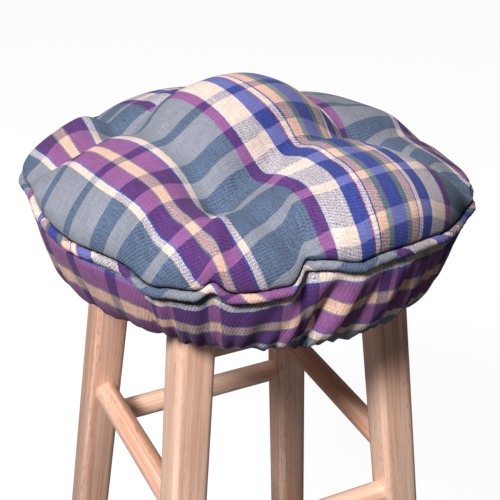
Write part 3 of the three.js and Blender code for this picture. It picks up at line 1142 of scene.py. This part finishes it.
def make_skirt(cloth):
    """The gathered skirt from the piping down to its elastic hem."""
    bm, degrees, share = ring_grid(cloth.skirt_steps, SKIRT_ROWS, SKIRT_SEAM)
    place_vertices(bm, skirt_points(share, degrees, cloth.gather_depth / MM) * MM)
    map_cloth(bm, skirt_cloth(share, degrees))
    level = bm.verts.layers.float.new("level")
    for vertex, up in zip(bm.verts, share):
        vertex[level] = up
    closed_ring(bm)
    share = np.array([vertex[level] for vertex in bm.verts])
    bm.verts.layers.float.remove(level)
    held = np.where((share > SKIRT_SEWN) | (share < HEM_SEWN), 1, SKIRT_HOLD)
    growth = SKIRT_GROWTH * (1 - share)
    worn = smoothed(settled(mesh_from(bm, "skirt_cloth"), held, growth, SKIRT_CAP * MM))
    bm = bmesh.new()
    bm.from_mesh(worn)
    material = plaid_finish("plaid_skirt", cloth, *skirt_bands())
    piece = finished("gathered_skirt", bm, material, "skirt")
    shell = piece.modifiers.new("cloth", "SOLIDIFY")
    shell.thickness = cloth.sheet_thickness
    shell.offset = -1


def grain_along(bm, axis, seed):
    """Gives each vertex its place in the board it was cut from, the grain along the third axis."""
    layer = bm.verts.layers.float_vector.new("grain")
    turn = {"X": Matrix.Rotation(math.radians(-90), 3, "Y"), "Z": Matrix.Identity(3)}[axis]
    for vertex in bm.verts:
        vertex[layer] = turn @ vertex.co + seed * Vector(GRAIN_STEP)


def leg_measures(wood):
    """How far out a leg's middle stands on the floor, how fast it leans in, and its length."""
    low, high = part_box("leg_right")
    half = wood.leg_side / 2
    at_floor = high[0] - half
    lean = (at_floor - (low[0] + half)) / (high[2] - low[2])
    return at_floor, lean, high[2]


def fit_between_legs(bm, wood, height):
    """Ends a piece that lies along X at the legs' inner faces, where its middle is to be at a height."""
    at_floor, lean, _ = leg_measures(wood)
    for vertex in bm.verts:
        reach = at_floor - lean * (height + vertex.co.z) - wood.leg_side / 2
        vertex.co.x = math.copysign(reach, vertex.co.x)


def edge_span(edge, axis):
    """How far an edge runs along an axis, 0 being X."""
    return abs(edge.verts[0].co[axis] - edge.verts[1].co[axis])


def round_edges(bm, edges, offset, segments):
    bmesh.ops.bevel(
        bm, geom=edges, affect="EDGES", offset=offset, offset_type="OFFSET", segments=segments, profile=0.5,
        material=-1,
    )


def finished_wood(node, bm, wood):
    """A wooden piece whose sharper edges stay crisp."""
    bm.normal_update()
    for edge in bm.edges:
        edge.smooth = edge.calc_face_angle(0) < math.radians(CRISP_ANGLE)
    material = bpy.data.materials.get("lacquered_wood") or wood_finish(wood)
    finished(node + "_wood", bm, material, node)


def make_seat(wood):
    """The round seat board, its edges rounded."""
    low, high = (Vector(corner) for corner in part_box("seat"))
    radius = (high.x - low.x) / 2
    thickness = high.z - low.z
    bm = bmesh.new()
    bmesh.ops.create_cone(bm, cap_ends=True, segments=96, radius1=radius, radius2=radius, depth=thickness)
    round_edges(bm, [edge for edge in bm.edges if edge_span(edge, 2) < MM], wood.seat_edge, 5)
    grain_along(bm, "X", SEAT_GRAIN)
    bmesh.ops.translate(bm, vec=(0, 0, (low.z + high.z) / 2), verts=bm.verts)
    finished_wood("seat", bm, wood)


def make_legs(wood):
    """Four square legs that lean in towards the seat."""
    at_floor, lean, length = leg_measures(wood)
    sides = {"leg_front": (-1, -1), "leg_right": (1, -1), "leg_back": (1, 1), "leg_left": (-1, 1)}
    for seed, (node, (side_x, side_y)) in enumerate(sides.items()):
        bm = bmesh.new()
        bmesh.ops.create_cube(bm, size=1)
        bmesh.ops.scale(bm, vec=(wood.leg_side, wood.leg_side, length), verts=bm.verts)
        bmesh.ops.translate(bm, vec=(0, 0, length / 2), verts=bm.verts)
        round_edges(bm, [edge for edge in bm.edges if edge_span(edge, 2) > length / 2], wood.leg_arris, 5)
        feet = [edge for edge in bm.edges if max(vertex.co.z for vertex in edge.verts) < MM]
        round_edges(bm, feet, FOOT_ARRIS * MM, 2)
        grain_along(bm, "Z", seed)
        bm.transform(Matrix((
            (1, 0, -lean * side_x, side_x * at_floor),
            (0, 1, -lean * side_y, side_y * at_floor),
            (0, 0, 1, 0),
            (0, 0, 0, 1),
        )))
        finished_wood(node, bm, wood)


def make_rungs(wood):
    """Eight round rungs between the legs, on four sides and at two heights."""
    names = [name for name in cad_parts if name.startswith("rung_")]
    for seed, node in enumerate(sorted(names), RUNG_GRAIN):
        low, high = (Vector(corner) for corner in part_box(node))
        middle = (low + high) / 2
        radius = (high.z - low.z) / 2
        bm = bmesh.new()
        bmesh.ops.create_cone(bm, cap_ends=True, segments=40, radius1=radius, radius2=radius, depth=1)
        turn_quarter(bm, "Y")
        fit_between_legs(bm, wood, middle.z)
        grain_along(bm, "X", seed)
        if high.y - low.y > high.x - low.x:
            turn_quarter(bm, "Z")
        bmesh.ops.translate(bm, vec=middle, verts=bm.verts)
        finished_wood(node, bm, wood)


def turn_quarter(bm, axis):
    quarter = Matrix.Rotation(math.radians(90), 3, axis)
    bmesh.ops.rotate(bm, cent=(0, 0, 0), matrix=quarter, verts=bm.verts)


def make_cleats(wood):
    """Two boards under the seat that lean with the legs."""
    at_floor, lean, _ = leg_measures(wood)
    for seed, (node, side) in enumerate({"cleat_front": -1, "cleat_back": 1}.items(), CLEAT_GRAIN):
        low, high = (Vector(corner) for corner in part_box(node))
        middle = (low.z + high.z) / 2
        bm = bmesh.new()
        bmesh.ops.create_cube(bm, size=1)
        bmesh.ops.scale(bm, vec=(1, CLEAT_THICKNESS * MM, high.z - low.z), verts=bm.verts)
        fit_between_legs(bm, wood, middle)
        long_edges = [edge for edge in bm.edges if edge_span(edge, 0) > wood.leg_side]
        round_edges(bm, long_edges, wood.board_arris, 3)
        grain_along(bm, "X", seed)
        for vertex in bm.verts:
            vertex.co.z += middle
            vertex.co.y += side * (at_floor - lean * vertex.co.z)
        finished_wood(node, bm, wood)


def make_stage():
    """A white floor, soft studio lights, a pale world and the camera."""
    bm = bmesh.new()
    bmesh.ops.create_grid(bm, x_segments=1, y_segments=1, size=FLOOR_SIZE)
    mesh = mesh_from(bm, "floor")
    grey = (FLOOR_GREY, FLOOR_GREY, FLOOR_GREY, 1)
    paint = Finish("floor_paint", Base_Color=grey, Roughness=0.9, Specular_IOR_Level=0.1)
    paint.feed(paint.shader.inputs["Emission Color"], (1, 1, 1, 1))
    seen = paint.node("LightPath", output="Is Camera Ray")
    paint.feed(paint.shader.inputs["Emission Strength"], seen * FLOOR_GLOW)
    mesh.materials.append(paint.material)
    linked("floor", mesh)
    for name, place, size, power in LIGHTS:
        data = bpy.data.lights.new(name, "AREA")
        data.size = size
        data.energy = power
        lamp = linked(name, data)
        lamp.location = place
        aim = Vector(LIGHT_AIM) - Vector(place)
        lamp.rotation_euler = aim.to_track_quat("-Z", "Y").to_euler()
    make_world()
    make_camera()


def make_world():
    """White all round for the camera, and dim for the light on the pieces."""
    world = bpy.data.worlds.new("studio")
    world.use_nodes = True
    nodes = world.node_tree.nodes
    seen = nodes.new("ShaderNodeLightPath")
    level = nodes.new("ShaderNodeMapRange")
    level.inputs["To Min"].default_value = AMBIENT
    world.node_tree.links.new(seen.outputs["Is Camera Ray"], level.inputs["Value"])
    world.node_tree.links.new(level.outputs["Result"], nodes["Background"].inputs["Strength"])
    nodes["Background"].inputs["Color"].default_value = (1, 1, 1, 1)
    bpy.context.scene.world = world
    bpy.context.scene.view_settings.view_transform = "Standard"


def make_camera():
    """The photograph's camera."""
    azimuth = math.radians(CAMERA_AZIMUTH)
    elevation = math.radians(CAMERA_ELEVATION)
    right = Vector((math.cos(azimuth), math.sin(azimuth), 0))
    away = Vector((math.sin(azimuth), -math.cos(azimuth), 0))
    back = away * math.cos(elevation) + Vector((0, 0, math.sin(elevation)))
    level = Matrix((right, back.cross(right), back)).transposed().to_4x4()
    data = bpy.data.cameras.new("camera")
    data.lens = CAMERA_LENS
    camera = linked("camera", data)
    roll = Matrix.Rotation(math.radians(CAMERA_ROLL), 4, "Z")
    camera.matrix_world = Matrix.Translation(CAMERA_PLACE) @ level @ roll
    bpy.context.scene.camera = camera


class STOOL_OT_seat(bpy.types.Operator):
    """Add the round seat board"""

    bl_idname = "stool.seat"
    bl_label = "Seat"

    def execute(self, context):
        make_seat(context.scene.stool_wood)
        return {"FINISHED"}


class STOOL_OT_legs(bpy.types.Operator):
    """Add the four legs"""

    bl_idname = "stool.legs"
    bl_label = "Legs"

    def execute(self, context):
        make_legs(context.scene.stool_wood)
        return {"FINISHED"}


class STOOL_OT_rungs(bpy.types.Operator):
    """Add the rungs between the legs"""

    bl_idname = "stool.rungs"
    bl_label = "Rungs"

    def execute(self, context):
        make_rungs(context.scene.stool_wood)
        return {"FINISHED"}


class STOOL_OT_cleats(bpy.types.Operator):
    """Add the boards under the seat"""

    bl_idname = "stool.cleats"
    bl_label = "Cleats"

    def execute(self, context):
        make_cleats(context.scene.stool_wood)
        return {"FINISHED"}


class STOOL_OT_cushion(bpy.types.Operator):
    """Add the tufted plaid pad"""

    bl_idname = "stool.cushion"
    bl_label = "Cushion pad"

    def execute(self, context):
        make_cushion(context.scene.stool_cloth)
        return {"FINISHED"}


class STOOL_OT_piping(bpy.types.Operator):
    """Add the bias piping round the pad"""

    bl_idname = "stool.piping"
    bl_label = "Piping"

    def execute(self, context):
        make_piping(context.scene.stool_cloth)
        return {"FINISHED"}


class STOOL_OT_skirt(bpy.types.Operator):
    """Add the gathered skirt"""

    bl_idname = "stool.skirt"
    bl_label = "Skirt"

    def execute(self, context):
        make_skirt(context.scene.stool_cloth)
        return {"FINISHED"}


class STOOL_OT_stage(bpy.types.Operator):
    """Add the floor, the lights and the camera"""

    bl_idname = "stool.stage"
    bl_label = "Stage"

    def execute(self, context):
        make_stage()
        return {"FINISHED"}


OPERATORS = (
    STOOL_OT_stage,
    STOOL_OT_seat,
    STOOL_OT_legs,
    STOOL_OT_rungs,
    STOOL_OT_cleats,
    STOOL_OT_cushion,
    STOOL_OT_piping,
    STOOL_OT_skirt,
)


class STOOL_PT_panel(bpy.types.Panel):
    """Lists the pieces of the stool and its cushion"""

    bl_idname = "STOOL_PT_panel"
    bl_label = "Plaid stool cushion"
    bl_space_type = "VIEW_3D"
    bl_region_type = "UI"
    bl_category = "Stool"

    def draw(self, context):
        for operator in OPERATORS:
            self.layout.operator(operator.bl_idname)


CLASSES = (ClothSettings, WoodSettings, *OPERATORS, STOOL_PT_panel)


def register():
    for cls in CLASSES:
        bpy.utils.register_class(cls)
    bpy.types.Scene.stool_cloth = PointerProperty(type=ClothSettings)
    bpy.types.Scene.stool_wood = PointerProperty(type=WoodSettings)


def unregister():
    del bpy.types.Scene.stool_wood
    del bpy.types.Scene.stool_cloth
    for cls in reversed(CLASSES):
        bpy.utils.unregister_class(cls)


def main():
    register()
    for operator in OPERATORS:
        family, name = operator.bl_idname.split(".")
        getattr(getattr(bpy.ops, family), name)()


if __name__ == "__main__":
    main()
